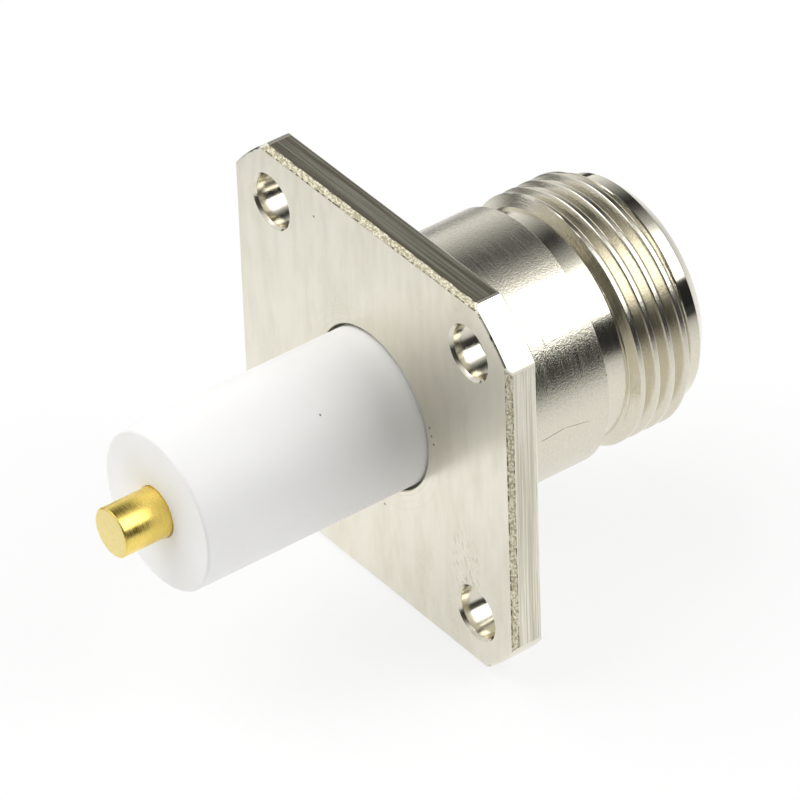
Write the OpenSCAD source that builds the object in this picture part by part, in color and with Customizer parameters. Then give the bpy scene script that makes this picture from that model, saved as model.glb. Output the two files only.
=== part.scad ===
// Flange-mounted N jack with a long dielectric.
// The origin is the centre of the mounting face. +Y runs out of the threaded mating end,
// and the dielectric rod and the solder pin stand out of the mounting face towards -Y.

/* [Flange] */
// Side of the square flange
flange_w = 25.4; // [24.8:0.1:28]
// Thickness of the flange
flange_t = 1.95; // [1.2:0.05:3]
// Metal left between each screw hole and the flange's turned corner
corner_land = 1.49; // [0.8:0.01:2]
// Bevel along the straight edges of the mounting face
flange_bevel = 0.3; // [0.1:0.05:0.4]
// Small edge break on the flange's other edges
edge_break = 0.1; // [0.05:0.05:0.2]
// Diameter of the four screw holes
hole_d = 3.2; // [2.7:0.1:3.6]
// Distance from hole to hole along a side
hole_spacing = 18.26; // [17.5:0.01:19]
// Chamfer at both ends of each screw hole
hole_chamfer = 0.18; // [0.05:0.01:0.25]

/* [Barrel] */
// Diameter of the plain barrel in front of the flange
barrel_d = 15.75; // [15:0.05:17]
// Length of the plain barrel
barrel_l = 8.71; // [7:0.01:11]
// Diameter at the floor of the thread relief
relief_d = 14.3; // [13.5:0.1:14.8]
// Length of the thread relief
relief_l = 1.74; // [1:0.02:2.5]
// Major diameter of the coupling thread
thread_d = 15.7; // [15.2:0.05:16.5]
// Length of the thread, with the chamfers at its ends
thread_l = 4.73; // [4:0.01:7]
// Length of the thread's first flank, at the relief
thread_run_in = 0.4; // [0.2:0.05:0.8]
// Distance from one crest of the thread to the next
thread_pitch = 1.0583; // [0.9:0.0001:1.5]
// Depth of the thread from crest to root
thread_depth = 0.62; // [0.3:0.01:0.7]
// Width of the flat at the thread's root
thread_root = 0.04; // [0.02:0.01:0.15]
// Angle between the thread's two flanks
thread_angle = 60; // [30:1:62]
// Distance from the thread's start to its first groove
first_groove = 1.09; // [0.9:0.01:1.3]
// Diameter of the plain nose in front of the thread
nose_d = 14.2; // [13.6:0.1:14.8]
// Length of the nose's plain part
nose_l = 0.67; // [0.3:0.01:1.5]
// 45 degree bevel from the nose to the front face
nose_bevel = 0.8; // [0.3:0.05:1.2]

/* [Bores] */
// Bore that takes the plug's outer contact
mouth_d = 8.1; // [7.6:0.05:8.6]
// Depth of that bore, from the front face to the reference plane
mouth_depth = 9.1; // [8:0.05:10]
// Lead-in chamfer at the front of the mouth
mouth_chamfer = 0.35; // [0.1:0.05:0.6]
// Bore of the air line between the reference plane and the dielectric
air_line_d = 7; // [6:0.05:7.4]
// Length of the air line
air_line_l = 2; // [1:0.1:3]
// Chamfer at the rim of the dielectric's bore
rim_chamfer = 0.06; // [0.04:0.01:0.2]

/* [Insulator] */
// Diameter of the dielectric rod
insulator_d = 9.8; // [8.8:0.1:10.4]
// Length that the rod stands out of the mounting face
insulator_out = 15; // [8:0.5:25]
// Rounding of the rod's outer edge
insulator_edge_r = 0.2; // [0.1:0.05:0.5]
// Radial gap between the rod and its bore
insulator_gap = 0.18; // [0.05:0.01:0.3]
// Length of the full-width land that holds the rod in its bore
land_l = 6.5; // [4:0.1:7]
// Radial gap between that land and the bore
land_gap = 0.01; // [0.01:0.01:0.04]

/* [Centre contact] */
// Diameter of the centre contact
contact_d = 3.04; // [2.7:0.01:3.3]
// Length of the solder pin in front of the rod's end
pin_out = 3.1; // [2:0.1:6]
// Edge break at the solder pin's end
pin_edge = 0.08; // [0.04:0.02:0.2]
// Length of the socket in front of the reference plane
socket_out = 5; // [4.5:0.1:5.4]
// Diameter of the hole that takes the plug's pin
socket_d = 1.7; // [1.5:0.05:1.8]
// Depth of that hole's full diameter
socket_depth = 6; // [5.6:0.1:8]
// Chamfer at the mouth of the hole
socket_chamfer = 0.2; // [0.1:0.05:0.25]
// Edge break on the outside of the socket's tip
socket_edge = 0.15; // [0.05:0.05:0.25]
// Point angle of the drill that makes the hole
drill_angle = 118; // [90:1:140]
// Number of slots sawn across the socket
slot_cuts = 2; // [1:1:3]
// Width of each slot
slot_w = 0.3; // [0.2:0.05:0.4]
// Length of each slot
slot_l = 5; // [4:0.1:5.5]
// Diameter of the barbs that hold the contact in the rod
barb_d = 3.5; // [3.4:0.05:3.8]
// Length of each barb's ramp
barb_l = 0.7; // [0.4:0.1:1]
// Number of barbs
barb_count = 3; // [1:1:4]
// Distance from the mounting face to the first barb
barb_start = 2; // [0.5:0.1:3]
// Radial gap between the contact and the rod
contact_gap = 0.01; // [0.01:0.01:0.03]

/* [Hidden] */
$fn = 96;
over = 1; // how far a cutter runs past what it cuts

// Stations along the axis, counted from the mounting face
barrel_end = flange_t + barrel_l;
thread_start = barrel_end + relief_l;
nose_start = thread_start + thread_l;
bevel_start = nose_start + nose_l;
front = bevel_start + nose_bevel;
reference_plane = front - mouth_depth;
seat = reference_plane - air_line_l;
rod_end = -insulator_out;
pin_end = rod_end - pin_out;
socket_tip = reference_plane + socket_out;
socket_floor = socket_tip - socket_depth;

// Radii
barrel_r = barrel_d / 2;
relief_r = relief_d / 2;
thread_r = thread_d / 2;
nose_r = nose_d / 2;
mouth_r = mouth_d / 2;
air_line_r = air_line_d / 2;
insulator_r = insulator_d / 2;
seat_r = insulator_r + insulator_gap;
land_r = seat_r - land_gap;
land_step = land_r - insulator_r;
contact_r = contact_d / 2;
barb_r = barb_d / 2;
socket_r = socket_d / 2;
corner_r = hole_spacing * sqrt(2) / 2 + hole_d / 2 + corner_land;

// Turns what is drawn along +Z to lie along +Y.
module along_y() {
    rotate([-90, 0, 0]) children();
}

// A turned solid from its half section, [radius, station] points.
module turned(section) {
    rotate_extrude() polygon(section);
}

// Cuts a 45 degree bevel on the flange's four straight edges at one of its faces.
module straight_edge_cutters(leg, station) {
    side = leg * sqrt(2);
    for (turn = [0:90:270])
        rotate(turn)
            translate([0, flange_w / 2, station])
                rotate([45, 0, 0])
                    cube([flange_w + 2 * over, side, side], center = true);
}

// A square plate whose corners are turned round, with its edges broken.
module flange_plate() {
    difference() {
        intersection() {
            translate([-flange_w / 2, -flange_w / 2, 0]) cube([flange_w, flange_w, flange_t]);
            turned([
                [0, 0],
                [corner_r - edge_break, 0],
                [corner_r, edge_break],
                [corner_r, flange_t - edge_break],
                [corner_r - edge_break, flange_t],
                [0, flange_t]
            ]);
        }
        straight_edge_cutters(flange_bevel, 0);
        straight_edge_cutters(edge_break, flange_t);
    }
}

// A drilled screw hole with a chamfer at each face of the flange.
module screw_hole() {
    hole_r = hole_d / 2;
    wide_r = hole_r + hole_chamfer;
    turned([
        [0, -over],
        [wide_r + over, -over],
        [hole_r, hole_chamfer],
        [hole_r, flange_t - hole_chamfer],
        [wide_r + over, flange_t + over],
        [0, flange_t + over]
    ]);
}

// The outside of the barrel: plain, relieved, up to the thread's major diameter, and the nose.
module barrel_blank() {
    turned([
        [0, flange_t / 2],
        [barrel_r, flange_t / 2],
        [barrel_r, barrel_end],
        [relief_r, barrel_end],
        [relief_r, thread_start],
        [thread_r, thread_start + thread_run_in],
        [thread_r, nose_start - (thread_r - nose_r)],
        [nose_r, nose_start],
        [nose_r, bevel_start],
        [nose_r - nose_bevel, front],
        [0, front]
    ]);
}

// The thread's grooves, each a closed ring one pitch from the next, so that the crests between
// them lie where a helical thread's do on average.
module thread_grooves() {
    root_r = thread_r - thread_depth;
    rim_r = thread_r + over;
    half_root = thread_root / 2;
    half_rim = half_root + (rim_r - root_r) * tan(thread_angle / 2);
    for (station = [thread_start + first_groove:thread_pitch:nose_start])
        turned([
            [root_r, station - half_root],
            [rim_r, station - half_rim],
            [rim_r, station + half_rim],
            [root_r, station + half_root]
        ]);
}

// The barrel with its thread cut.
module barrel_outside() {
    difference() {
        barrel_blank();
        thread_grooves();
    }
}

// The stepped bore: the rod's seat, the air line and the mouth, one behind the other.
module stepped_bore() {
    turned([
        [0, -over],
        [seat_r + rim_chamfer + over, -over],
        [seat_r, rim_chamfer],
        [seat_r, seat],
        [air_line_r, seat],
        [air_line_r, reference_plane],
        [mouth_r, reference_plane],
        [mouth_r, front - mouth_chamfer],
        [mouth_r + mouth_chamfer + over, front + over],
        [0, front + over]
    ]);
}

module shell_body() {
    color("#c4bfb0")
        along_y()
            difference() {
                union() {
                    flange_plate();
                    barrel_outside();
                }
                stepped_bore();
                for (x = [-0.5, 0.5], y = [-0.5, 0.5])
                    translate([x * hole_spacing, y * hole_spacing, 0]) screw_hole();
            }
}

// Half section of the barbs, [radius, station] points: ramps that each end in a square step.
function barbs(gap) = concat(
    [[contact_r + gap, barb_start]],
    [for (i = [1:barb_count], r = [barb_r, contact_r]) [r + gap, barb_start + i * barb_l]]
);

// The contact's outside between two stations, wider by a radial gap where it is used as a cutter.
module contact_outside(from, to, gap = 0) {
    turned(concat(
        [[0, from], [contact_r + gap, from]],
        barbs(gap),
        [[contact_r + gap, to], [0, to]]
    ));
}

// A turned rod with a rounded outer edge and a wider land at the end that is pressed in.
module rod_outside() {
    rotate_extrude() {
        translate([0, rod_end + insulator_edge_r])
            square([insulator_r, seat - rod_end - insulator_edge_r]);
        translate([0, rod_end])
            square([insulator_r - insulator_edge_r, insulator_edge_r]);
        intersection() {
            translate([insulator_r - insulator_edge_r, rod_end + insulator_edge_r])
                circle(insulator_edge_r);
            translate([0, rod_end])
                square([insulator_r, insulator_edge_r]);
        }
    }
    turned([
        [0, seat - land_l],
        [insulator_r, seat - land_l],
        [land_r, seat - land_l + land_step],
        [land_r, seat - land_step],
        [insulator_r, seat],
        [0, seat]
    ]);
}

module insulator() {
    color("white")
        along_y()
            difference() {
                rod_outside();
                contact_outside(rod_end - over, seat + over, contact_gap);
            }
}

// The hole that takes the plug's pin, with a drilled bottom and a chamfered mouth.
module socket_hole() {
    turned([
        [0, socket_floor - socket_r / tan(drill_angle / 2)],
        [socket_r, socket_floor],
        [socket_r, socket_tip - socket_chamfer],
        [socket_r + socket_chamfer + over, socket_tip + over],
        [0, socket_tip + over]
    ]);
}

// Saw cuts that part the socket into spring fingers.
module finger_slots() {
    for (i = [0:slot_cuts - 1])
        rotate(i * 180 / slot_cuts)
            translate([-contact_d, -slot_w / 2, socket_tip - slot_l])
                cube([2 * contact_d, slot_w, slot_l + over]);
}

// What the edge breaks at the contact's two ends take away.
module contact_edge_cutters() {
    turned([
        [contact_r - pin_edge - over, pin_end - over],
        [contact_r + over, pin_end - over],
        [contact_r + over, pin_end + pin_edge + over]
    ]);
    turned([
        [contact_r + over, socket_tip - socket_edge - over],
        [contact_r + over, socket_tip + over],
        [contact_r - socket_edge - over, socket_tip + over]
    ]);
}

module centre_contact() {
    color("gold")
        along_y()
            difference() {
                contact_outside(pin_end, socket_tip);
                contact_edge_cutters();
                socket_hole();
                finger_slots();
            }
}

shell_body();
insulator();
centre_contact();
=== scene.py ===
"""Dressed model of a flange-mounted N jack with a long dielectric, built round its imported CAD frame.

Sizes are in millimetres until a mesh is made, and the axis of the connector is the frame's Y axis.
"""

import math

import bmesh
import bpy
from mathutils import Matrix, Vector
from mathutils.geometry import delaunay_2d_cdt


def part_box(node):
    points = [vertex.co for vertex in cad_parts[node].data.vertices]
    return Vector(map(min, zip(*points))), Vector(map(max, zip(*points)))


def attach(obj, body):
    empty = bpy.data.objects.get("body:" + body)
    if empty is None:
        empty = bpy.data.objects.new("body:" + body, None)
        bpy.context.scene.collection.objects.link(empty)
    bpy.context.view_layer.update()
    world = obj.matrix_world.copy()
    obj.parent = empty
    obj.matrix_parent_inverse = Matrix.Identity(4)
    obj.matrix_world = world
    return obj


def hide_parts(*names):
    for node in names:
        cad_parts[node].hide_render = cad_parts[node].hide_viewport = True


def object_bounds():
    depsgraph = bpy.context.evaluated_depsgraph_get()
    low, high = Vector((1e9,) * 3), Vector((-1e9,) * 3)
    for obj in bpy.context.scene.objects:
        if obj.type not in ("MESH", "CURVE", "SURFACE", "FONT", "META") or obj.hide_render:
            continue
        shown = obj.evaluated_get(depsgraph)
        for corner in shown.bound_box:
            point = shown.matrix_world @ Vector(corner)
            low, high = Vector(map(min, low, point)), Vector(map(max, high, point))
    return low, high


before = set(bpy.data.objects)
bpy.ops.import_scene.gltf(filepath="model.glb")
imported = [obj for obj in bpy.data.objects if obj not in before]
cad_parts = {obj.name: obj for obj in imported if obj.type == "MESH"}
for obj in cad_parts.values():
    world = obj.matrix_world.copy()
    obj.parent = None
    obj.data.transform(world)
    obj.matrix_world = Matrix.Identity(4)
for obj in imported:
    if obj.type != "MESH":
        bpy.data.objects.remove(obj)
CAD_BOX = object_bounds()

MM = 0.001
SHELL_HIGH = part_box("shell_body")[1] / MM
ROD_LOW, ROD_HIGH = (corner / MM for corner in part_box("insulator"))
CONTACT_LOW, CONTACT_HIGH = (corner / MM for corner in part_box("centre_contact"))

# Flange
FLANGE_HALF = SHELL_HIGH.x
FLANGE_T = 1.95
CORNER_R = 16.002
FLANGE_BEVEL = 0.3
EDGE_BREAK = 0.1
EDGE_SOFT = 0.035
HOLE_R = 1.6
HOLE_AT = 9.13
HOLE_CHAMFER = 0.18

# Barrel, with its stations counted from the mounting face
BARREL_R = 7.875
BARREL_END = 10.66
RELIEF_R = 7.15
THREAD_START = 12.4
RUN_IN = 0.4
THREAD_R = 7.85
THREAD_END = 17.13
NOSE_R = 7.1
BEVEL_START = 17.8
NOSE_BEVEL = 0.8
FRONT = SHELL_HIGH.y
MOUTH_R = 4.05
MOUTH_CHAMFER = 0.35
REFERENCE_PLANE = 9.5
AIR_LINE_R = 3.5
SEAT = ROD_HIGH.y
SEAT_R = 5.08
RIM_CHAMFER = 0.06

# Coupling thread
PITCH = 1.0583
CREST_AT = 13.13
CREST_LAND = 0.30
THREAD_DEPTH = 0.62
FLANK_ANGLE = math.radians(30)
CREST_SOFT = 0.09
ROOT_SOFT = 0.05

# Dielectric rod
ROD_END = ROD_LOW.y
ROD_R = 4.9
ROD_EDGE_R = 0.2
LAND_R = ROD_HIGH.x
LAND_START = 1.0

# Centre contact
CONTACT_R = 1.52
PIN_END = CONTACT_LOW.y
PIN_EDGE = 0.08
SOCKET_TIP = CONTACT_HIGH.y
SOCKET_R = 0.85
SOCKET_FLOOR = 8.5
SOCKET_CHAMFER = 0.2
SOCKET_EDGE = 0.15
DRILL_HALF_ANGLE = math.radians(59)
SLOT_W = 0.3
SLOT_L = 5.0
BARB_R = 1.75
BARB_L = 0.7
BARB_COUNT = 3
BARB_START = 2.0
CONTACT_GAP = 0.01

# Camera: angles in degrees, and its distance and the point it looks at in millimetres
AZIMUTH, ELEVATION, ROLL = 54.2425, 37.3003, -2.0737
DISTANCE = 462.858
AIM_RIGHT, AIM_UP = 1.5057, 0.3613
LENS = 371.09

TURNED_COLUMNS = 360
ROD_COLUMNS = 192
CONTACT_COLUMNS = 128
HOLE_COLUMNS = 96
CORNER_SEGMENTS = 24
SAME_POINT = 1e-4


# ---------------------------------------------------------------- meshes

class Surface:
    """Faces gathered patch by patch for one piece, each patch with the number of its finish."""

    def __init__(self):
        self.points = []
        self.faces = []
        self.finishes = []

    def sheet(self, rows, finish, closed=True):
        """Quads between rows of points, and from each row's last point to its first if closed."""
        count = len(rows[0])
        start = len(self.points)
        for row in rows:
            self.points.extend(row)
        for i in range(len(rows) - 1):
            low = start + i * count
            high = low + count
            for j in range(count if closed else count - 1):
                k = (j + 1) % count
                self.faces.append((low + j, high + j, high + k, low + k))
                self.finishes.append(finish)

    def turned(self, path, finish, columns, centre=(0.0, 0.0)):
        """A surface of revolution from (radius, station) points, outward where stations rise."""
        rows = []
        for radius, station in path:
            rows.append(ring(radius, station, columns, centre))
        self.sheet(rows, finish)

    def plate(self, outside, holes, finish, facing):
        """A flat face at one station between an outline and the rings inside it."""
        start = len(self.points)
        loops = [outside] + holes
        owner = []
        edges = []
        for number, loop in enumerate(loops):
            first = len(owner)
            owner.extend([number] * len(loop))
            edges.extend((first + i, first + (i + 1) % len(loop)) for i in range(len(loop)))
        flat = [p for loop in loops for p in loop]
        self.points.extend(flat)
        plan = [Vector((p[0], p[2])) for p in flat]
        triangles = delaunay_2d_cdt(plan, edges, [], 0, SAME_POINT * 0.1)[2]
        for triangle in triangles:
            owners = {owner[v] for v in triangle}
            if len(owners) == 1 and owners != {0}:
                continue
            order = triangle if facing > 0 else triangle[::-1]
            self.faces.append(tuple(start + v for v in order[::-1]))
            self.finishes.append(finish)

    def piece(self, name, finishes, smooth_angle=28):
        """The finished object, in metres, with its points merged and its creases kept sharp."""
        mesh = bpy.data.meshes.new(name)
        mesh.from_pydata([(x * MM, y * MM, z * MM) for x, y, z in self.points], [], self.faces)
        mesh.polygons.foreach_set("material_index", self.finishes)
        mesh.polygons.foreach_set("use_smooth", [True] * len(mesh.polygons))
        for material in finishes:
            mesh.materials.append(material)
        work = bmesh.new()
        work.from_mesh(mesh)
        bmesh.ops.remove_doubles(work, verts=work.verts, dist=SAME_POINT * MM)
        bmesh.ops.dissolve_degenerate(work, edges=work.edges, dist=SAME_POINT * MM * 0.1)
        work.to_mesh(mesh)
        work.free()
        mesh.set_sharp_from_angle(angle=math.radians(smooth_angle))
        made = bpy.data.objects.new(name, mesh)
        bpy.context.scene.collection.objects.link(made)
        normals = made.modifiers.new("normals", "WEIGHTED_NORMAL")
        normals.mode = "FACE_AREA"
        normals.keep_sharp = True
        return made


def ring(radius, station, columns, centre=(0.0, 0.0)):
    """Points round the axis, or round another line along Y, from +X towards +Z."""
    points = []
    for j in range(columns):
        angle = 2 * math.pi * j / columns
        x = centre[0] + radius * math.cos(angle)
        z = centre[1] + radius * math.sin(angle)
        points.append((x, station, z))
    return points


def rounded(path, segments=4):
    """(a, b, radius) corners as a line of (a, b) points whose corners are arcs of that radius."""
    line = [path[0][:2]]
    for before, corner, after in zip(path, path[1:], path[2:]):
        here = Vector(corner[:2])
        radius = corner[2] if len(corner) > 2 else 0
        if not radius:
            line.append(tuple(here))
            continue
        into = (here - Vector(before[:2])).normalized()
        out = (Vector(after[:2]) - here).normalized()
        turn = into.angle_signed(out)
        reach = radius * math.tan(abs(turn) / 2)
        start = here - into * reach
        side = Vector((-into.y, into.x)) * (-1 if turn > 0 else 1)
        middle = start + side * radius
        for i in range(segments + 1):
            arm = start - middle
            arm.rotate(Matrix.Rotation(-turn * i / segments, 2))
            line.append(tuple(middle + arm))
    line.append(path[-1][:2])
    return line


def flange_outline(half, corner_r, station):
    """The square's outline with its corners turned round, at one station."""
    first = math.acos(half / corner_r)
    points = []
    for quarter in range(4):
        for i in range(CORNER_SEGMENTS + 1):
            angle = quarter * math.pi / 2 + first + (math.pi / 2 - 2 * first) * i / CORNER_SEGMENTS
            points.append((corner_r * math.cos(angle), station, corner_r * math.sin(angle)))
    return points


def level(line, station):
    """The half width that a line of (half width, station) points has at a station."""
    for low, high in zip(line, line[1:]):
        if low[1] <= station <= high[1] and high[1] > low[1]:
            share = (station - low[1]) / (high[1] - low[1])
            return low[0] + (high[0] - low[0]) * share
    return line[-1][0] if station > line[0][1] else line[0][0]


def flange_edges():
    """(half width, corner radius, station) from the mounting face to the flange's other face."""
    half = FLANGE_HALF
    straight = rounded([
        (half - 2 * FLANGE_BEVEL, 0),
        (half - FLANGE_BEVEL, 0, EDGE_SOFT),
        (half, FLANGE_BEVEL, EDGE_SOFT),
        (half, FLANGE_T - EDGE_BREAK, EDGE_SOFT),
        (half - EDGE_BREAK, FLANGE_T, EDGE_SOFT),
        (half - 2 * FLANGE_BEVEL, FLANGE_T),
    ], 3)[1:-1]
    corner = rounded([
        (CORNER_R - 2 * EDGE_BREAK, 0),
        (CORNER_R - EDGE_BREAK, 0, EDGE_SOFT),
        (CORNER_R, EDGE_BREAK, EDGE_SOFT),
        (CORNER_R, FLANGE_T - EDGE_BREAK, EDGE_SOFT),
        (CORNER_R - EDGE_BREAK, FLANGE_T, EDGE_SOFT),
        (CORNER_R - 2 * EDGE_BREAK, FLANGE_T),
    ], 3)[1:-1]
    stations = sorted({round(s, 5) for _, s in straight + corner})
    return [(level(straight, s), level(corner, s), s) for s in stations]


def thread_profile():
    """One pitch of the thread as (distance along the axis, depth under the crest), crest first."""
    half_land = CREST_LAND / 2
    flank = THREAD_DEPTH * math.tan(FLANK_ANGLE)
    line = rounded([
        (0, 0),
        (half_land, 0, CREST_SOFT),
        (half_land + flank, THREAD_DEPTH, ROOT_SOFT),
        (PITCH - half_land - flank, THREAD_DEPTH, ROOT_SOFT),
        (PITCH - half_land, 0, CREST_SOFT),
        (PITCH, 0),
    ], 3)
    longest = PITCH / 18
    fine = [line[0]]
    for low, high in zip(line, line[1:]):
        pieces = max(1, math.ceil((high[0] - low[0]) / longest))
        for i in range(1, pieces + 1):
            fine.append((
                low[0] + (high[0] - low[0]) * i / pieces,
                low[1] + (high[1] - low[1]) * i / pieces,
            ))
    return fine[:-1]


def thread_envelope(station):
    """The radius that the thread's turned ends leave at a station."""
    run_in = RELIEF_R + (station - THREAD_START) * (THREAD_R - RELIEF_R) / RUN_IN
    run_out = NOSE_R + (THREAD_END - station)
    return min(THREAD_R, run_in, run_out)


def thread_rows():
    """Rows of points along the helix, cut off at the thread's two ends."""
    profile = thread_profile()
    turns_before = math.ceil((CREST_AT - THREAD_START) / PITCH) + 1
    turns = math.ceil((THREAD_END - THREAD_START) / PITCH) + 3
    rows = []
    for turn in range(turns):
        for along, depth in profile:
            start = CREST_AT + (turn - turns_before) * PITCH + along
            row = []
            for j in range(TURNED_COLUMNS + 1):
                share = j / TURNED_COLUMNS
                station = min(max(start - PITCH * share, THREAD_START), THREAD_END)
                radius = min(THREAD_R - depth, thread_envelope(station))
                if station == THREAD_START:
                    radius = RELIEF_R
                if station == THREAD_END:
                    radius = NOSE_R
                angle = 2 * math.pi * share
                row.append((radius * math.cos(angle), station, radius * math.sin(angle)))
            rows.append(row)
    return rows


FACE, EDGE, BARREL, RELIEF, POLISHED, THREAD, BORE = range(7)


def build_shell(finishes):
    """The flange, barrel, thread and bores as one closed skin."""
    shell = Surface()
    levels = [flange_outline(*at) for at in flange_edges()]
    shell.sheet(levels, EDGE)

    wide = HOLE_R + HOLE_CHAMFER
    near, far = [], []
    for x in (-HOLE_AT, HOLE_AT):
        for z in (-HOLE_AT, HOLE_AT):
            path = rounded([
                (wide, FLANGE_T),
                (HOLE_R, FLANGE_T - HOLE_CHAMFER, EDGE_SOFT),
                (HOLE_R, HOLE_CHAMFER, EDGE_SOFT),
                (wide, 0),
            ], 2)
            shell.turned(path, BORE, HOLE_COLUMNS, (x, z))
            near.append(ring(wide, 0, HOLE_COLUMNS, (x, z)))
            far.append(ring(wide, FLANGE_T, HOLE_COLUMNS, (x, z)))
    rim = ring(SEAT_R + RIM_CHAMFER, 0, TURNED_COLUMNS)
    shell.plate(levels[0], near + [rim], FACE, -1)
    collar = ring(BARREL_R, FLANGE_T, TURNED_COLUMNS)
    shell.plate(levels[-1], far + [collar], FACE, 1)

    shoulder = rounded([
        (BARREL_R, FLANGE_T),
        (BARREL_R, BARREL_END, EDGE_SOFT),
        (RELIEF_R + 2 * EDGE_SOFT, BARREL_END),
    ])
    shell.turned(shoulder[:-1], BARREL, TURNED_COLUMNS)
    shell.turned(rounded([
        shoulder[-2],
        (RELIEF_R, BARREL_END, EDGE_SOFT),
        (RELIEF_R, THREAD_START),
    ]), RELIEF, TURNED_COLUMNS)
    shell.sheet(thread_rows(), THREAD, closed=False)
    shell.turned(rounded([
        (NOSE_R, THREAD_END),
        (NOSE_R, BEVEL_START, EDGE_SOFT),
        (NOSE_R - NOSE_BEVEL, FRONT, EDGE_SOFT),
        (MOUTH_R + MOUTH_CHAMFER, FRONT, EDGE_SOFT),
        (MOUTH_R, FRONT - MOUTH_CHAMFER),
    ]), POLISHED, TURNED_COLUMNS)
    shell.turned([
        (MOUTH_R, FRONT - MOUTH_CHAMFER),
        (MOUTH_R, REFERENCE_PLANE),
        (AIR_LINE_R, REFERENCE_PLANE),
        (AIR_LINE_R, SEAT),
        (SEAT_R, SEAT),
        (SEAT_R, RIM_CHAMFER),
        (SEAT_R + RIM_CHAMFER, 0),
    ], BORE, TURNED_COLUMNS)
    return shell.piece("shell_threaded", finishes)


def barbs(gap):
    """The contact's barbs as (radius, station) points, ramps that each end in a step."""
    points = [(CONTACT_R + gap, BARB_START)]
    for i in range(1, BARB_COUNT + 1):
        station = BARB_START + i * BARB_L
        points.append((BARB_R + gap, station))
        points.append((CONTACT_R + gap, station))
    return points


def build_rod(finishes):
    """The dielectric: a rod with a rounded outer edge, and its pressed-in land."""
    rod = Surface()
    bore = CONTACT_R + CONTACT_GAP
    step = LAND_R - ROD_R
    rod.turned(rounded([
        (bore, ROD_END + PIN_EDGE),
        (bore + PIN_EDGE, ROD_END),
        (ROD_R, ROD_END, ROD_EDGE_R),
        (ROD_R, LAND_START),
        (LAND_R, LAND_START + step),
        (LAND_R, SEAT - step),
        (ROD_R, SEAT),
        (bore, SEAT),
    ], 8), 0, ROD_COLUMNS)
    inside = [(bore, SEAT)] + barbs(CONTACT_GAP)[::-1] + [(bore, ROD_END + PIN_EDGE)]
    rod.turned(inside, 0, ROD_COLUMNS)
    return rod.piece("dielectric_rod", finishes)


def build_contact(finishes):
    """The centre contact: a solder pin at one end and a slotted socket at the other."""
    contact = Surface()
    pin_edge = rounded([
        (0, PIN_END),
        (CONTACT_R - PIN_EDGE, PIN_END, PIN_EDGE / 2),
        (CONTACT_R, PIN_END + PIN_EDGE),
    ])
    contact.turned(pin_edge[:2], 1, CONTACT_COLUMNS)
    outside = pin_edge[1:]
    outside += barbs(0)
    outside += [
        (CONTACT_R, SOCKET_TIP - SOCKET_EDGE, SOCKET_EDGE / 3),
        (CONTACT_R - SOCKET_EDGE, SOCKET_TIP, SOCKET_EDGE / 3),
        (SOCKET_R + SOCKET_CHAMFER, SOCKET_TIP),
        (SOCKET_R, SOCKET_TIP - SOCKET_CHAMFER),
        (SOCKET_R, SOCKET_FLOOR),
        (0, SOCKET_FLOOR - SOCKET_R / math.tan(DRILL_HALF_ANGLE)),
    ]
    contact.turned(rounded(outside), 0, CONTACT_COLUMNS)
    made = contact.piece("centre_contact_turned", finishes)

    saw = Surface()
    half, reach = SLOT_W / 2, 2 * CONTACT_R
    plan = []
    for quarter in range(4):
        turn = Matrix.Rotation(quarter * math.pi / 2, 2)
        for corner in ((half, half), (reach, half), (reach, -half)):
            plan.append(turn @ Vector(corner))
    plan = sorted(plan, key=lambda p: math.atan2(p.y, p.x))
    bottom, top = SOCKET_TIP - SLOT_L, SOCKET_TIP + 1
    saw.sheet([[(p.x, s, p.y) for p in plan] for s in (bottom, top)], 0)
    start = len(saw.points) - 2 * len(plan)
    saw.faces.append(tuple(start + i for i in range(len(plan))))
    saw.faces.append(tuple(start + len(plan) + i for i in reversed(range(len(plan)))))
    saw.finishes += [0, 0]
    cutter = saw.piece("saw", finishes)
    cutter.modifiers.clear()

    cut = made.modifiers.new("slots", "BOOLEAN")
    cut.operation = "DIFFERENCE"
    cut.solver = "EXACT"
    cut.object = cutter
    made.modifiers.remove(made.modifiers["normals"])
    seen = made.evaluated_get(bpy.context.evaluated_depsgraph_get())
    mesh = bpy.data.meshes.new_from_object(seen)
    made.modifiers.clear()
    made.data = mesh
    mesh.set_sharp_from_angle(angle=math.radians(28))
    bpy.data.objects.remove(cutter)
    return made


# ---------------------------------------------------------------- node trees

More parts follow.
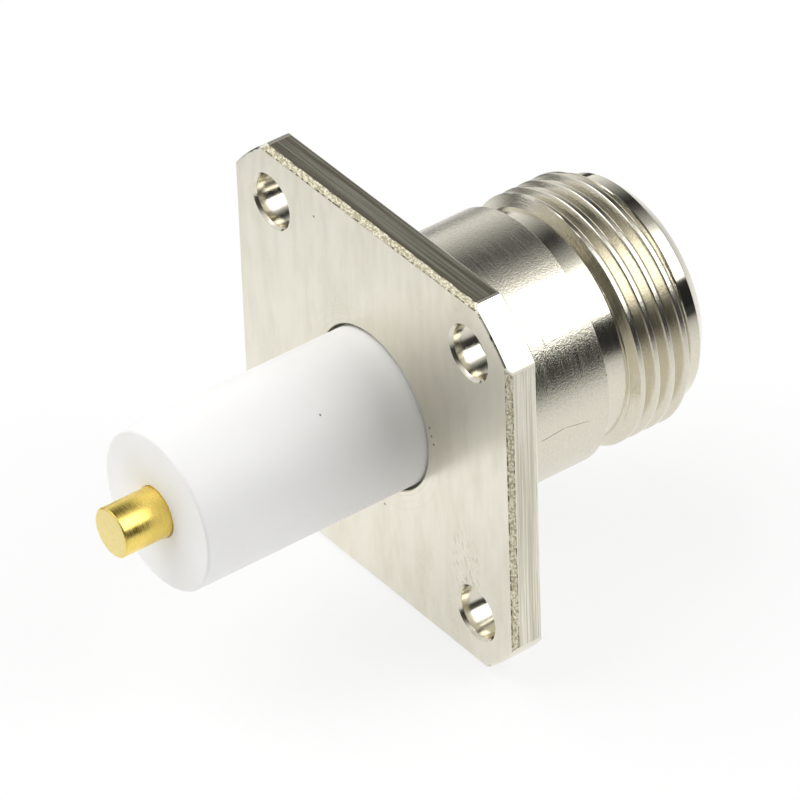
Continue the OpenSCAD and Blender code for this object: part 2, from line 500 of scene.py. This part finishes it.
class Net:
    """Short calls for wiring a node tree: a number or a socket goes in wherever an input is asked for."""

    def __init__(self, tree):
        self.tree = tree
        tree.nodes.clear()

    def feed(self, socket, value):
        if isinstance(value, bpy.types.NodeSocket):
            self.tree.links.new(value, socket)
        else:
            socket.default_value = value

    def add(self, kind, inputs=None, **settings):
        node = self.tree.nodes.new(kind)
        for name, value in settings.items():
            setattr(node, name, value)
        for name, value in (inputs or {}).items():
            self.feed(node.inputs[name], value)
        return node

    def math(self, operation, a, b=0.0, c=0.0):
        return self.add("ShaderNodeMath", {0: a, 1: b, 2: c}, operation=operation).outputs[0]

    def times(self, a, b):
        return self.math("MULTIPLY", a, b)

    def plus(self, a, b):
        return self.math("ADD", a, b)

    def minus(self, a, b):
        return self.math("SUBTRACT", a, b)

    def smooth(self, value, low, high, to_low=0.0, to_high=1.0):
        """to_low under low, to_high over high, and an S curve between them."""
        node = self.add("ShaderNodeMapRange", {
            "Value": value, "From Min": low, "From Max": high, "To Min": to_low, "To Max": to_high,
        }, interpolation_type="SMOOTHSTEP", clamp=True)
        return node.outputs["Result"]

    def split(self, vector):
        node = self.add("ShaderNodeSeparateXYZ", {"Vector": vector})
        return node.outputs["X"], node.outputs["Y"], node.outputs["Z"]

    def join(self, x, y, z):
        return self.add("ShaderNodeCombineXYZ", {"X": x, "Y": y, "Z": z}).outputs["Vector"]

    def dot(self, a, b):
        node = self.add("ShaderNodeVectorMath", {0: a, 1: b}, operation="DOT_PRODUCT")
        return node.outputs["Value"]

    def place(self):
        """The point on the piece, in millimetres in the frame."""
        metres = self.add("ShaderNodeTexCoord").outputs["Object"]
        node = self.add("ShaderNodeVectorMath", {0: metres, "Scale": 1 / MM}, operation="SCALE")
        return node.outputs["Vector"]

    def radius(self, a, b):
        """The length of (a, b)."""
        return self.math("SQRT", self.plus(self.times(a, a), self.times(b, b)))

    def noise(self, vector, detail=2.0, roughness=0.5):
        node = self.add("ShaderNodeTexNoise", {
            "Vector": vector, "Scale": 1.0, "Detail": detail, "Roughness": roughness,
        })
        return node.outputs["Fac"]

    def grain(self, at, cells, detail=2.0, roughness=0.5):
        """Noise with that many cells a millimetre along each axis."""
        x, y, z = (self.times(part, count) for part, count in zip(at, cells))
        return self.noise(self.join(x, y, z), detail, roughness)

    def mix(self, share, a, b):
        node = self.add("ShaderNodeMix", data_type="RGBA")
        self.feed(node.inputs[0], share)
        self.feed(node.inputs[6], a)
        self.feed(node.inputs[7], b)
        return node.outputs[2]

    def blend(self, share, a, b):
        """Like mix, for numbers."""
        node = self.add("ShaderNodeMix", data_type="FLOAT")
        self.feed(node.inputs[0], share)
        self.feed(node.inputs[2], a)
        self.feed(node.inputs[3], b)
        return node.outputs[0]

    def line(self, value, low, high, to_low, to_high):
        """to_low under low, to_high over high, and a straight line between them."""
        node = self.add("ShaderNodeMapRange", {
            "Value": value, "From Min": low, "From Max": high, "To Min": to_low, "To Max": to_high,
        }, clamp=True)
        return node.outputs["Result"]

    def levels(self, value, stops, full, top=1.0):
        """Straight lines between (position, level) stops, as shares of full and of top."""
        node = self.add("ShaderNodeValToRGB", {"Fac": value})
        ramp = node.color_ramp
        while len(ramp.elements) > 1:
            ramp.elements.remove(ramp.elements[-1])
        ramp.elements[0].position = stops[0][0] / full
        for position, _ in stops[1:]:
            ramp.elements.new(position / full)
        for element, (_, level) in zip(ramp.elements, stops):
            element.color = colour(level / top, level / top, level / top)
        return node.outputs["Color"]

    def band(self, value, middle, half_width):
        """1 at the middle, 0 beyond the half width."""
        off = self.math("ABSOLUTE", self.minus(value, middle))
        return self.smooth(off, half_width, half_width * 0.4)

    def patch(self, u, v, middle, half_size):
        """1 in the middle of an ellipse, 0 outside it."""
        across = self.times(self.minus(u, middle[0]), 1 / half_size[0])
        along = self.times(self.minus(v, middle[1]), 1 / half_size[1])
        return self.smooth(self.plus(self.times(across, across), self.times(along, along)), 1.0, 0.5)

    def stroke(self, u, v, start, end, half_width):
        """1 along a straight scratch, 0 away from it."""
        run, rise = end[0] - start[0], end[1] - start[1]
        length = math.hypot(run, rise)
        cos, sin = run / length, rise / length
        du, dv = self.minus(u, start[0]), self.minus(v, start[1])
        along = self.plus(self.times(du, cos), self.times(dv, sin))
        off = self.math("ABSOLUTE", self.minus(self.times(dv, cos), self.times(du, sin)))
        inside = self.times(self.smooth(along, 0.0, 0.1), self.smooth(along, length, length - 0.1))
        return self.times(self.smooth(off, half_width, half_width * 0.4), inside)

    def lathe_rings(self, x, z, inner, outer):
        """Fine rings round the axis between two radii, fading outward."""
        radius = self.radius(x, z)
        rings = self.noise(self.join(self.times(radius, 7.0), 0.0, 0.0), 2.0, 0.6)
        fade = self.smooth(radius, outer, inner)
        return self.times(self.smooth(rings, 0.50, 0.62), fade)

    def bump(self, height, distance, normal=None):
        """A bump of that many millimetres from a height of 0 to 1."""
        inputs = {"Height": height, "Strength": 1.0, "Distance": distance * MM}
        if normal is not None:
            inputs["Normal"] = normal
        return self.add("ShaderNodeBump", inputs).outputs["Normal"]


def turned_place(net, round_scale, along_scale):
    """Coordinates for marks that run round the axis: coarse round it, fine along and across it."""
    x, y, z = net.split(net.place())
    along = net.plus(y, net.times(net.radius(x, z), 0.618))
    return net.join(net.times(x, round_scale), net.times(along, along_scale), net.times(z, round_scale))


def colour(red, green, blue):
    return (red, green, blue, 1.0)


def scaled(tint, share):
    return colour(*(part * share for part in tint[:3]))


def arc_point(at):
    """A (degrees, station) point of the barrel as (arc length, station)."""
    return math.radians(at[0]) * BARREL_R, at[1]


def start_material(name):
    material = bpy.data.materials.new(name)
    material.use_nodes = True
    return material, Net(material.node_tree)


def finish_material(net, inputs):
    shader = net.add("ShaderNodeBsdfPrincipled", inputs)
    net.add("ShaderNodeOutputMaterial", {"Surface": shader.outputs["BSDF"]})


NICKEL = colour(0.765, 0.725, 0.61)
NICKEL_PALE = colour(0.82, 0.785, 0.68)
NICKEL_DULL = colour(0.56, 0.525, 0.415)
NICKEL_DARK = colour(0.10, 0.09, 0.07)
GOLD = colour(0.97, 0.74, 0.19)
GOLD_PALE = colour(0.96, 0.82, 0.38)
PTFE = colour(0.96, 0.957, 0.945)

# The face's two tones, and its marks as (x, z) places
FACE_LOW = colour(0.735, 0.70, 0.585)
FACE_HIGH = colour(0.80, 0.765, 0.66)
FACE_PITS = ((5.28, 1.69), (5.45, 1.20), (5.62, 0.72), (0.76, -6.42), (-5.02, 10.43))
PIT_R = 0.09
SCUFF_AT = (8.3, -6.4)
SCUFF_SIZE = (1.5, 3.2)

# The barrel's scratches: (degrees, station) to (degrees, station), half width, and light or not
LIGHT, DARK = True, False
BARREL_STROKES = (
    ((63.7, 7.9), (65.7, 9.1), 0.035, LIGHT),
    ((65.7, 9.1), (66.0, 10.2), 0.035, LIGHT),
    ((40.4, 7.30), (34.9, 7.35), 0.03, DARK),
    ((-4.2, 5.8), (-3.0, 7.5), 0.03, DARK),
    ((-3.0, 7.5), (-5.6, 9.2), 0.025, DARK),
    ((17.4, 10.58), (16.4, 10.66), 0.07, DARK),
    ((13.0, 10.56), (12.0, 10.66), 0.07, DARK),
)


def face_material():
    """Satin nickel on the flange's faces, brushed along Z, with a few marks of handling."""
    material, net = start_material("nickel_brushed_face")
    x, y, z = at = net.split(net.place())
    lines = net.grain(at, (9.0, 1.0, 3.6), 3.0, 0.7)
    streaks = net.grain(at, (1.1, 1.0, 0.30), 2.0, 0.6)
    patches = net.grain(at, (0.33, 1.0, 0.12))
    tone = net.plus(net.times(streaks, 0.5), net.times(patches, 0.5))
    tint = net.mix(net.smooth(tone, 0.33, 0.62), FACE_LOW, FACE_HIGH)
    tint = net.mix(net.smooth(lines, 0.56, 0.74, 0.0, 0.4), tint, NICKEL_DULL)

    across = net.plus(x, net.times(z, 0.30))
    scuffs = net.grain((across, y, z), (4.5, 1.0, 1.6), 3.0, 0.7)
    scuffed = net.times(net.patch(x, z, SCUFF_AT, SCUFF_SIZE), net.smooth(scuffs, 0.56, 0.62))
    pitted = net.smooth(net.grain(at, (2.6, 1.0, 2.6), 1.0), 0.80, 0.83)
    for pit in FACE_PITS:
        pitted = net.math("MAXIMUM", pitted, net.patch(x, z, pit, (PIT_R, PIT_R)))
    tint = net.mix(net.times(scuffed, 0.75), tint, NICKEL_DULL)
    tint = net.mix(net.times(pitted, 0.85), tint, NICKEL_DARK)
    lathe = net.lathe_rings(x, z, 5.1, 7.2)
    tint = net.mix(net.times(lathe, 0.35), tint, NICKEL_DULL)
    finish_material(net, {
        "Base Color": tint, "Metallic": 1.0,
        "Roughness": net.smooth(tone, 0.3, 0.7, 0.28, 0.21),
        "Normal": net.bump(net.minus(lines, net.plus(scuffed, pitted)), 0.006),
    })
    return material


def edge_material():
    """Milled nickel on the flange's edges: lines along the sides, worn bevels, smooth turned corners, a
    painted highlight along the rear edge and painted shade on the top side.
    """
    material, net = start_material("nickel_milled_edge")
    x, y, z = at = net.split(net.place())
    radius = net.radius(x, z)
    corner = net.smooth(radius, CORNER_R - 0.16, CORNER_R - 0.12)
    bevel = net.times(net.smooth(y, FLANGE_BEVEL + 0.03, FLANGE_BEVEL), net.minus(1.0, corner))
    # Painted highlight: a pale line along the rear edge break of the straight sides.
    rear_edge_highlight = net.times(net.smooth(y, FLANGE_T - 0.16, FLANGE_T - 0.11), net.minus(1.0, corner))

    lines = net.grain(at, (0.12, 11.0, 0.12), 3.0, 0.7)
    grooves = net.grain(at, (0.05, 3.2, 0.05), 1.0)
    tone = net.plus(net.times(lines, 0.6), net.times(grooves, 0.4))
    grain = net.grain(at, (9.0, 9.0, 9.0), 2.0, 0.7)
    tint = net.mix(net.smooth(tone, 0.38, 0.60), NICKEL_DULL, NICKEL_PALE)
    cut = net.smooth(tone, 0.58, 0.66, 0.0, 0.75)
    tint = net.mix(cut, tint, colour(0.34, 0.31, 0.24))
    # Painted shade: the top side is darkened, over its real milling marks, where it faces the dark part of
    # the tent.
    top = net.smooth(z, FLANGE_HALF - 0.06, FLANGE_HALF - 0.02)
    sawn = net.mix(net.smooth(tone, 0.40, 0.58), colour(0.62, 0.59, 0.48), colour(0.30, 0.27, 0.20))
    tint = net.mix(top, tint, sawn)

    nicks = net.grain(at, (2.2, 2.2, 2.2), 2.0, 0.7)
    dots = net.grain(at, (5.0, 9.0, 5.0), 3.0, 0.75)
    worn = net.mix(net.smooth(dots, 0.44, 0.60), colour(0.40, 0.36, 0.24), colour(0.86, 0.82, 0.66))
    worn = net.mix(net.smooth(dots, 0.61, 0.68), worn, NICKEL_DARK)
    ends = net.math("MAXIMUM", net.band(y, 0.03, 0.035), net.band(y, FLANGE_BEVEL, 0.035))
    worn = net.mix(net.times(ends, net.smooth(nicks, 0.46, 0.60)), worn, NICKEL_DARK)
    tint = net.mix(bevel, tint, worn)
    # Lay the painted highlight on the rear edge break.
    tint = net.mix(net.times(rear_edge_highlight, 0.8), tint, colour(0.93, 0.90, 0.80))

    rims = net.math("MAXIMUM", net.smooth(y, 0.11, 0.05), net.smooth(y, FLANGE_T - 0.12, FLANGE_T - 0.06))
    nicked = net.times(net.times(corner, rims), net.smooth(nicks, 0.56, 0.62))
    tint = net.mix(corner, tint, NICKEL_PALE)
    tint = net.mix(nicked, tint, NICKEL_DARK)

    height = net.plus(net.times(tone, net.smooth(corner, 0.0, 1.0, 1.0, 0.2)), net.times(bevel, dots))
    first = net.bump(height, 0.010)
    finish_material(net, {
        "Base Color": tint, "Metallic": 1.0,
        "Roughness": net.plus(0.24, net.times(bevel, 0.16)),
        "Normal": net.bump(grain, 0.004, first),
    })
    return material


def turned_material(name, tint, rough, grain_height, mark_height, strokes=()):
    """Lathe-turned metal: marks round the axis, a fine grain over them, and a few scratches."""
    material, net = start_material(name)
    marks = net.noise(turned_place(net, 0.5, 9.0), 3.0, 0.6)
    grain = net.noise(turned_place(net, 8.0, 9.5), 2.0, 0.7)
    base = net.mix(net.smooth(grain, 0.30, 0.70, 0.0, 0.5), tint, scaled(tint, 0.82))
    roughness = net.smooth(marks, 0.3, 0.7, rough * 0.85, rough * 1.2)
    if strokes:
        x, y, z = net.split(net.place())
        arc = net.times(net.math("ARCTAN2", z, x), BARREL_R)
        for start, end, half_width, light in strokes:
            mask = net.stroke(arc, y, arc_point(start), arc_point(end), half_width)
            base = net.mix(net.times(mask, 0.7), base, NICKEL_PALE if light else NICKEL_DARK)
            roughness = net.plus(roughness, net.times(mask, 0.45))
    first = net.bump(marks, mark_height)
    finish_material(net, {
        "Base Color": base, "Metallic": 1.0, "Roughness": roughness,
        "Normal": net.bump(grain, grain_height, first),
    })
    return material


def pin_end_material():
    """The pin's sawn end, paler and rougher than its side."""
    material, net = start_material("gold_plate_end")
    marks = net.grain(net.split(net.place()), (3.0, 3.0, 9.0), 3.0, 0.6)
    finish_material(net, {
        "Base Color": net.mix(net.smooth(marks, 0.35, 0.65), GOLD_PALE, colour(0.93, 0.76, 0.30)),
        "Metallic": 1.0, "Roughness": 0.34,
        "Normal": net.bump(marks, 0.004),
    })
    return material


def ptfe_material():
    """White PTFE, matte, with faint turning marks and one dark speck."""
    material, net = start_material("ptfe_white")
    x, y, z = net.split(net.place())
    marks = net.noise(turned_place(net, 0.3, 5.0), 2.0)
    clouds = net.noise(turned_place(net, 0.5, 0.4), 2.0)
    tint = net.mix(net.smooth(clouds, 0.3, 0.7), PTFE, colour(0.945, 0.938, 0.92))
    speck = net.times(net.patch(x, y, (2.9, -5.7), (0.07, 0.06)), net.smooth(z, 3.0, 3.5))
    tint = net.mix(net.times(speck, 0.85), tint, colour(0.12, 0.10, 0.08))
    finish_material(net, {
        "Base Color": tint, "Roughness": 0.5,
        "Normal": net.bump(marks, 0.004),
    })
    return material


# ---------------------------------------------------------------- light, floor and camera

# Levels of the tent behind the flange, by degrees round the connector's axis from +X over +Z
SOFTBOX = ((26, 0.0), (30, 1.0), (71, 1.0), (79, 0.42), (88, 0.18), (98, 0.09), (108, 0.02), (118, 0.0))
SOFTBOX_LEVEL = 3.0
TENT = ((0, 0.02), (118, 0.03), (127, 0.10), (137, 0.27), (147, 0.48), (157, 0.72), (167, 0.92), (180, 1.1))
TENT_LEVEL = 1.2

# Half the floor's side, in metres
FLOOR_REACH = 1.5


def build_world():
    """A light tent: a softbox behind on the right, one overhead on the left, and dark gaps."""
    world = bpy.data.worlds.new("light_tent")
    bpy.context.scene.world = world
    world.use_nodes = True
    net = Net(world.node_tree)
    way = net.add("ShaderNodeTexCoord").outputs["Generated"]
    x, y, z = net.split(way)
    half_turn = net.times(net.math("ARCTAN2", z, x), 1 / math.pi)

    box = net.times(net.levels(half_turn, SOFTBOX, 180), SOFTBOX_LEVEL)
    box = net.times(box, net.times(net.smooth(y, 0.12, 0.2), net.smooth(y, 0.86, 0.78)))
    tent = net.times(net.levels(half_turn, TENT, 180, TENT_LEVEL), TENT_LEVEL)
    back = net.plus(box, net.times(tent, net.smooth(y, 0.93, 0.85, 0.08, 1.0)))

    overhead = net.smooth(net.dot(way, (-0.401, -0.251, 0.881)), 0.87, 0.94, 0.0, 2.3)
    front = net.plus(overhead, net.smooth(x, 0.45, -0.05, 0.05, 0.90))

    sky = net.blend(net.smooth(y, 0.0, 0.12), front, back)
    sky = net.blend(net.smooth(z, -0.02, -0.08), sky, 0.3)
    camera_ray = net.add("ShaderNodeLightPath").outputs["Is Camera Ray"]
    background = net.add("ShaderNodeBackground", {
        "Color": colour(1.0, 1.0, 1.0), "Strength": net.blend(camera_ray, sky, 1.0),
    })
    net.add("ShaderNodeOutputWorld", {"Surface": background.outputs["Background"]})


def build_floor():
    """A plain pale floor under the flange's lower edge. It glows: plain white to the camera, a painted pool
    of light in reflections that fades away from the connector, and a fainter glow that adds light to the
    object.
    """
    z = CAD_BOX[0].z
    reach = FLOOR_REACH
    mesh = bpy.data.meshes.new("floor")
    corners = [(-reach, -reach, z), (reach, -reach, z), (reach, reach, z), (-reach, reach, z)]
    mesh.from_pydata(corners, [], [(0, 1, 2, 3)])
    floor = bpy.data.objects.new("floor", mesh)
    bpy.context.scene.collection.objects.link(floor)
    material, net = start_material("floor_white")
    path = net.add("ShaderNodeLightPath")
    glossy = path.outputs["Is Glossy Ray"]
    x, y, z = net.split(net.place())
    x, y = net.plus(x, 10.0), net.minus(y, 10.0)
    # Painted pool of light, seen only in reflections: the floor's glow and colour fall off with distance
    # from a point beside the connector.
    fade = net.blend(glossy, 1.0, net.line(net.radius(x, y), 20.0, 140.0, 1.0, 0.04))
    white = net.blend(glossy, 1.0, 1.15)
    pale = net.times(fade, 0.95)
    cover = net.add("ShaderNodeBsdfDiffuse", {"Color": net.join(pale, pale, pale)})
    glow = net.add("ShaderNodeEmission", {
        "Color": colour(1.0, 1.0, 1.0), "Strength": net.times(fade, white),
    })
    # The floor's glow: most of it to the camera, part of it in reflections and in the light it throws back
    # on the object.
    share = net.blend(path.outputs["Is Camera Ray"], net.blend(glossy, 0.42, 0.6), 0.8)
    both = net.add("ShaderNodeMixShader", {0: share, 1: cover.outputs[0], 2: glow.outputs[0]})
    net.add("ShaderNodeOutputMaterial", {"Surface": both.outputs[0]})
    mesh.materials.append(material)


def build_camera():
    """A long lens, from the right of the rod and above it."""
    azimuth, elevation, roll = (math.radians(angle) for angle in (AZIMUTH, ELEVATION, ROLL))
    back = Vector((
        math.sin(azimuth) * math.cos(elevation),
        -math.cos(azimuth) * math.cos(elevation),
        math.sin(elevation),
    ))
    right = Vector((math.cos(azimuth), math.sin(azimuth), 0))
    up = back.cross(right)
    across = right * math.cos(roll) + up * math.sin(roll)
    upright = up * math.cos(roll) - right * math.sin(roll)
    data = bpy.data.cameras.new("camera")
    data.lens = LENS
    data.sensor_width = 36.0
    data.clip_start = 0.01
    data.clip_end = 10.0
    camera = bpy.data.objects.new("camera", data)
    bpy.context.scene.collection.objects.link(camera)
    place = (right * AIM_RIGHT + up * AIM_UP + back * DISTANCE) * MM
    turn = Matrix((across, upright, back)).transposed().to_4x4()
    camera.matrix_world = Matrix.Translation(place) @ turn
    bpy.context.scene.camera = camera


def dress(piece, node):
    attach(piece, "root")
    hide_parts(node)


bpy.context.scene.view_settings.view_transform = "Standard"

barrel = turned_material("nickel_turned_barrel", NICKEL, 0.23, 0.015, 0.004, BARREL_STROKES)
relief = turned_material("nickel_relief", NICKEL, 0.14, 0.006, 0.002)
polished = turned_material("nickel_polished", NICKEL, 0.09, 0.0012, 0.001)
thread = turned_material("nickel_thread", NICKEL, 0.20, 0.008, 0.005)
bore = turned_material("nickel_bore", NICKEL, 0.17, 0.004, 0.003)
gold = turned_material("gold_plate", GOLD, 0.26, 0.002, 0.002)

shell_finishes = [face_material(), edge_material(), barrel, relief, polished, thread, bore]
dress(build_shell(shell_finishes), "shell_body")
dress(build_rod([ptfe_material()]), "insulator")
dress(build_contact([gold, pin_end_material()]), "centre_contact")

build_world()
build_floor()
build_camera()
